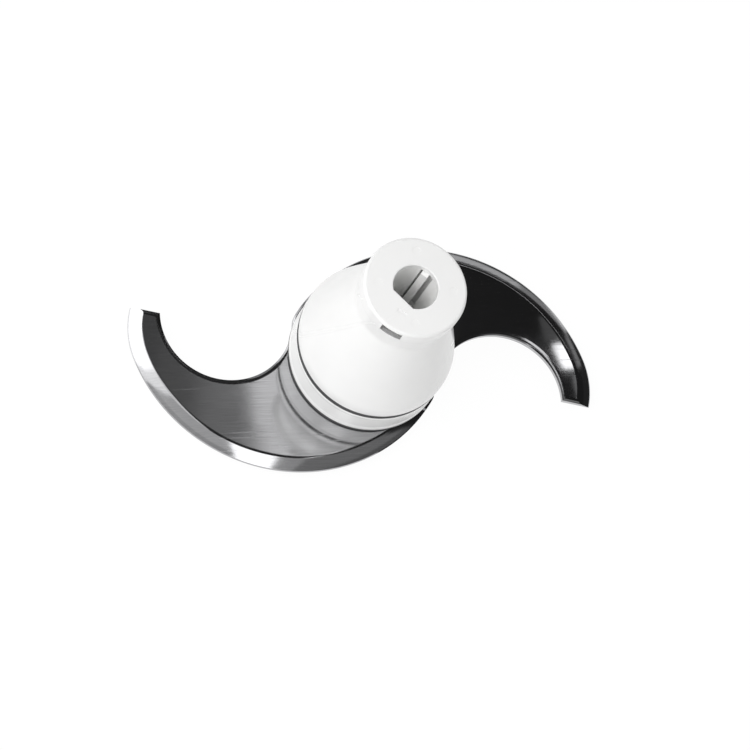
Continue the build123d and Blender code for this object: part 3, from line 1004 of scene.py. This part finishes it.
class BLADE_OT_stage(bpy.types.Operator):
    """Adds the camera, the lamps, the white surroundings and the floor"""

    bl_idname = "blade.add_stage"
    bl_label = "Studio"

    def aim_camera(self, studio):
        """Camera at the photograph's viewing angle."""
        e, a = studio.elevation, studio.azimuth
        back = Vector((math.sin(a) * math.cos(e), -math.cos(a) * math.cos(e), math.sin(e)))
        level = Vector((math.cos(a), math.sin(a), 0.0))
        upward = back.cross(level)
        right = level * math.cos(studio.roll) + upward * math.sin(studio.roll)
        up = upward * math.cos(studio.roll) - level * math.sin(studio.roll)
        target = Vector((0.0, 0.0, BLADE_BOX[1].z)) + right * studio.aim_right - up * studio.aim_down
        camera = bpy.data.objects.new("camera", bpy.data.cameras.new("camera"))
        bpy.context.scene.collection.objects.link(camera)
        camera.data.lens = camera.data.sensor_width * studio.distance / studio.frame_width
        place = target + back * studio.distance
        facing = Matrix((right, up, back)).transposed().to_4x4()
        camera.matrix_world = Matrix.Translation(place) @ facing
        camera.data.clip_start, camera.data.clip_end = 0.05, 50.0
        bpy.context.scene.camera = camera

    def add_softbox(self, name, place, size, power):
        """A square area lamp that looks at the hub."""
        lamp = bpy.data.lights.new(name, "AREA")
        lamp.shape = "SQUARE"
        lamp.size = size
        lamp.energy = power
        holder = bpy.data.objects.new(name, lamp)
        holder.location = place
        holder.rotation_mode = "QUATERNION"
        holder.rotation_quaternion = Vector(place).to_track_quat("Z", "Y")
        bpy.context.scene.collection.objects.link(holder)

    def add_card(self, name, corners, brightness):
        """A plain card that shows only in reflections."""
        build = bmesh.new()
        build.faces.new([build.verts.new(Vector(corner) * MM) for corner in corners])
        card = new_piece(name, build)
        material, tree, shader = start_material(name)
        tree.nodes.remove(shader)
        glow = tree.nodes.new("ShaderNodeEmission")
        glow.inputs["Strength"].default_value = brightness
        tree.links.new(glow.outputs[0], tree.nodes["Material Output"].inputs["Surface"])
        card.data.materials.append(material)
        card.visible_camera = False
        card.visible_diffuse = False
        card.visible_transmission = False
        card.visible_shadow = False

    def white_world(self, studio):
        """White surroundings to the camera and in reflections, softer on rough surfaces."""
        world = bpy.data.worlds.new("surroundings")
        world.use_nodes = True
        nodes, links = world.node_tree.nodes, world.node_tree.links
        background = nodes["Background"]
        background.inputs["Color"].default_value = (1, 1, 1, 1)
        level = nodes.new("ShaderNodeMix")
        links.new(background_rays(world.node_tree), level.inputs["Factor"])
        level.inputs["A"].default_value = studio.sky
        level.inputs["B"].default_value = 1.0
        links.new(level.outputs["Result"], background.inputs["Strength"])
        bpy.context.scene.world = world

    def white_floor(self):
        """Large pale floor that shows white, with the object's faint shadow."""
        half_width, white_share, white_level = 6.0, 0.93, 1.025
        build = bmesh.new()
        bmesh.ops.create_grid(build, x_segments=1, y_segments=1, size=half_width)
        floor = new_piece("floor", build)
        material, tree, shader = start_material("floor_white")
        shader.inputs["Base Color"].default_value = (0.86, 0.86, 0.86, 1)
        shader.inputs["Roughness"].default_value = 0.9
        glow = tree.nodes.new("ShaderNodeEmission")
        glow.inputs["Strength"].default_value = white_level
        mix = tree.nodes.new("ShaderNodeMixShader")
        tree.links.new(calculate(tree, "MULTIPLY", background_rays(tree), white_share), mix.inputs["Fac"])
        tree.links.new(shader.outputs[0], mix.inputs[1])
        tree.links.new(glow.outputs[0], mix.inputs[2])
        tree.links.new(mix.outputs[0], tree.nodes["Material Output"].inputs["Surface"])
        floor.data.materials.append(material)

    def execute(self, context):
        studio = context.scene.blade_studio
        context.scene.view_settings.view_transform = "Standard"
        self.aim_camera(studio)
        self.add_softbox("softbox", place=(-0.6, -0.33, 0.85), size=0.6, power=studio.key_power)
        for card in REFLECTION_CARDS:
            self.add_card(*card)
        self.white_world(studio)
        self.white_floor()
        return {"FINISHED"}


class BLADE_PT_panel(bpy.types.Panel):
    """Lists the pieces and the studio"""

    bl_label = "Processor blade"
    bl_space_type = "VIEW_3D"
    bl_region_type = "UI"
    bl_category = "Blade"

    def draw(self, context):
        for operator in OPERATORS:
            self.layout.operator(operator.bl_idname)


GROUPS = {
    "blade_sizes": BladeSizes,
    "hub_sizes": HubSizes,
    "blade_finishes": Finishes,
    "blade_studio": StudioSettings,
}
OPERATORS = (
    BLADE_OT_stage,
    BLADE_OT_plate,
    BLADE_OT_ring,
    BLADE_OT_cover,
    BLADE_OT_carrier,
    BLADE_OT_sleeve,
)
CLASSES = (*GROUPS.values(), *OPERATORS, BLADE_PT_panel)


def register():
    """Registers the classes and hangs the settings on the scene."""
    for kind in CLASSES:
        bpy.utils.register_class(kind)
    for name, kind in GROUPS.items():
        setattr(bpy.types.Scene, name, PointerProperty(type=kind))


def unregister():
    """Undoes register."""
    for name in GROUPS:
        delattr(bpy.types.Scene, name)
    for kind in reversed(CLASSES):
        bpy.utils.unregister_class(kind)


def main():
    """Makes every piece and the studio."""
    register()
    bpy.ops.blade.add_stage()
    bpy.ops.blade.add_plate()
    bpy.ops.blade.add_ring()
    bpy.ops.blade.add_cover()
    bpy.ops.blade.add_carrier()
    bpy.ops.blade.add_sleeve()


if __name__ == "__main__":
    main()
